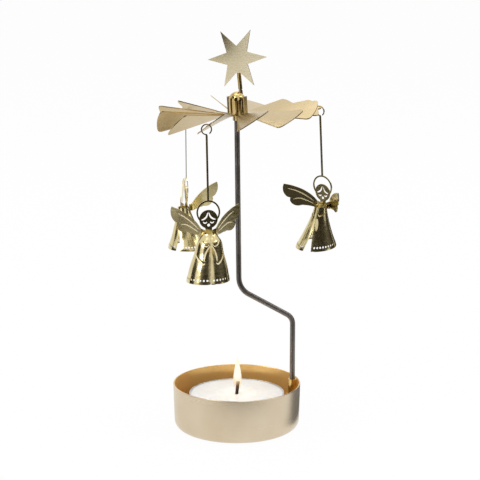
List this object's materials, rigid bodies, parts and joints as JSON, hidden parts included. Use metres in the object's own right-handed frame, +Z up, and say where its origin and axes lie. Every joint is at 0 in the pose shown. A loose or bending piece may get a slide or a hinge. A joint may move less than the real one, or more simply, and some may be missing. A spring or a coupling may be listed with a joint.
{
  "type": "angel chime carousel",
  "caption": "Candle carousel: a tealight in a drawn brass cup turns a bladed rotor that hangs on a needle, with a star above it and cut-out angels hanging below.",
  "frame": {"origin": "centre of the cup's flat foot, where it stands", "axes": "+Z up along the spindle, +X to the right as pictured, towards the wire's leg, -Y towards the viewer"},
  "size_m": [0.071, 0.0837, 0.1578],
  "materials": {
    "satin_brass_cup": "brushed and lacquered outside, polished inside",
    "bright_brass": "polished",
    "steel_wire": "drawn, dark",
    "aluminium_can": "pressed foil",
    "white_wax": "soft, slightly translucent paraffin wax",
    "cotton_wick": "charred braided cotton",
    "tin_steel": "plain pressed sheet",
    "satin_brass_sheet": "satin sheet",
    "etched_brass": "polished etched sheet"
  },
  "bodies": {
    "stand": {"cup": "satin_brass_cup", "wire_clip": "bright_brass", "upright_wire": "steel_wire"},
    "rotor": {"rotor_sheet": "satin_brass_sheet", "bearing_cap": "bright_brass", "cap_collar": "bright_brass", "star": "satin_brass_sheet", "star_stem": "bright_brass"},
    "angel_front": {"angel_front": "etched_brass"},
    "angel_right": {"angel_right": "etched_brass"},
    "angel_left": {"angel_left": "etched_brass"},
    "tealight": {"tealight_can": "aluminium_can", "wax": "white_wax", "wick": "cotton_wick", "wick_foot": "tin_steel"}
  },
  "joints": [
    {"name": "rotor_spin", "type": "hinge", "parent": "stand", "child": "rotor", "pos_m": [0, 0, 0.1332], "axis": [0, 0, 1], "continuous": true},
    {"name": "tealight_lift", "type": "slide", "parent": "stand", "child": "tealight", "axis": [0, 0, 1], "range_m": [0, 0.022]},
    {"name": "angel_right_swing", "type": "hinge", "parent": "rotor", "child": "angel_right", "pos_m": [0.03237, 0.00538, 0.12758], "axis": [0.1925, -0.9813, 0], "range_deg": [-10, 30]},
    {"name": "angel_left_swing", "type": "hinge", "parent": "rotor", "child": "angel_left", "pos_m": [-0.02064, 0.02504, 0.12448], "axis": [0.7536, 0.6574, 0], "range_deg": [-10, 30]},
    {"name": "angel_front_swing", "type": "hinge", "parent": "rotor", "child": "angel_front", "pos_m": [-0.01098, -0.03027, 0.12481], "axis": [-0.9461, 0.3239, 0], "range_deg": [-10, 30]}
  ]
}
